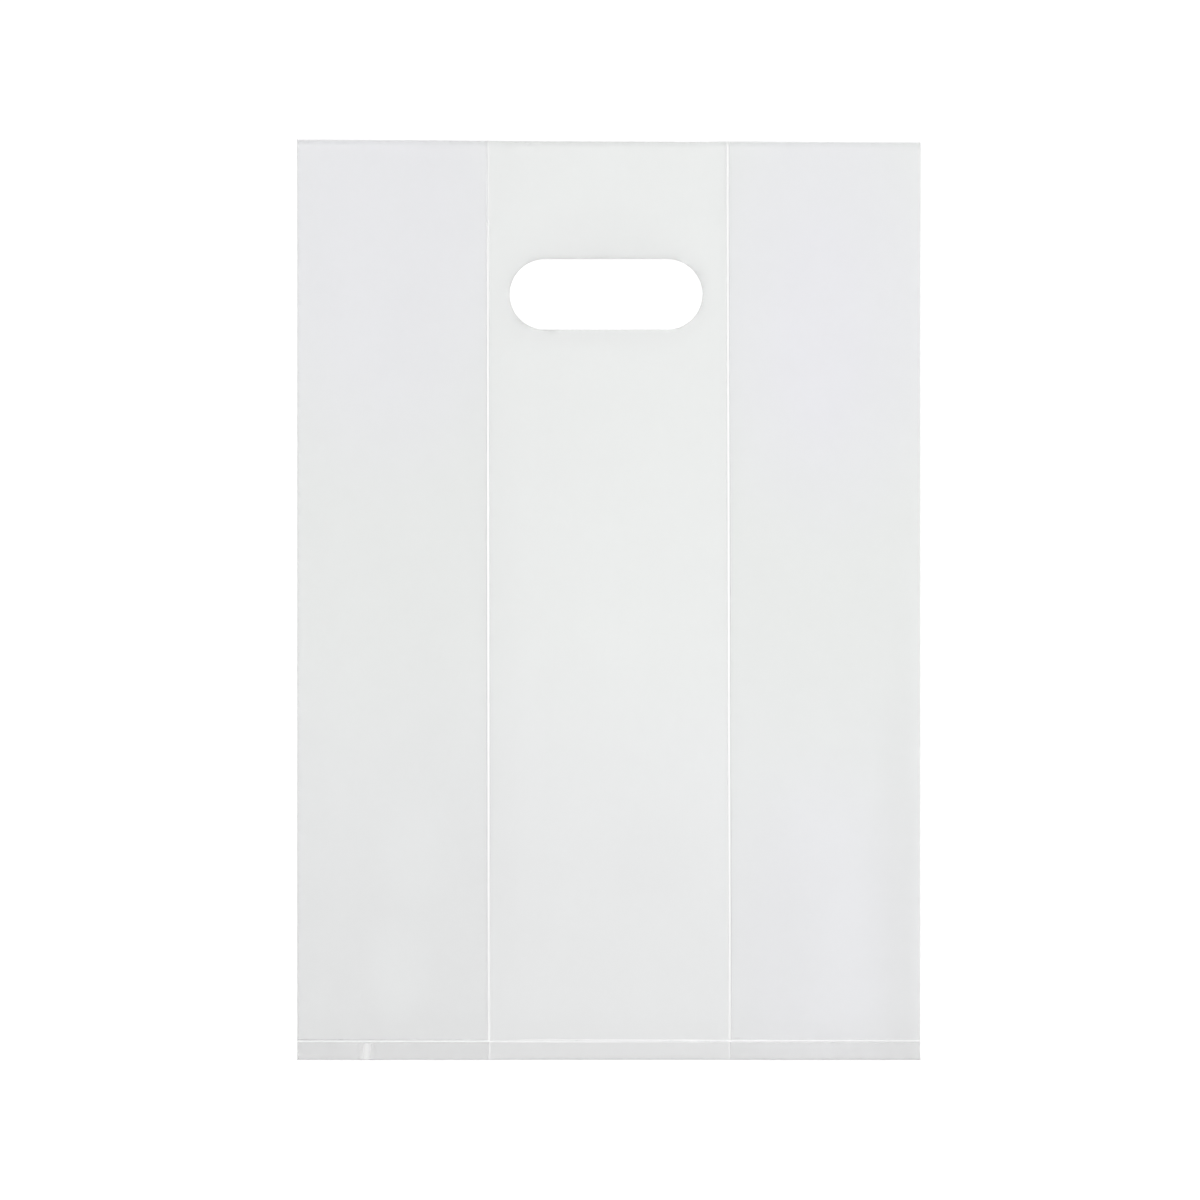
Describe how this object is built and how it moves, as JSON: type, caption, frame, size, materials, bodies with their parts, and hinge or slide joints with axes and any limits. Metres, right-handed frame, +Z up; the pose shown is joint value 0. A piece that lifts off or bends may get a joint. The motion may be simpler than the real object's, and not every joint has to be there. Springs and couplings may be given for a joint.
{
  "type": "plastic carrier bag",
  "caption": "Clear film carrier bag lying flat, with tucked-in side gussets, an open mouth, a punched oblong hand hole and a welded bottom with a short skirt.",
  "frame": {"origin": "middle of the bag's outline, on the surface that its back panel lies on", "axes": "+X across the bag, +Y along it towards the mouth, +Z up out of the front panel"},
  "size_m": [0.25, 0.37, 0.0026],
  "materials": {
    "clear_film": "clear polyethylene film with a slight haze"
  },
  "bodies": {
    "root": {"carrier_bag": "clear_film"}
  },
  "joints": []
}
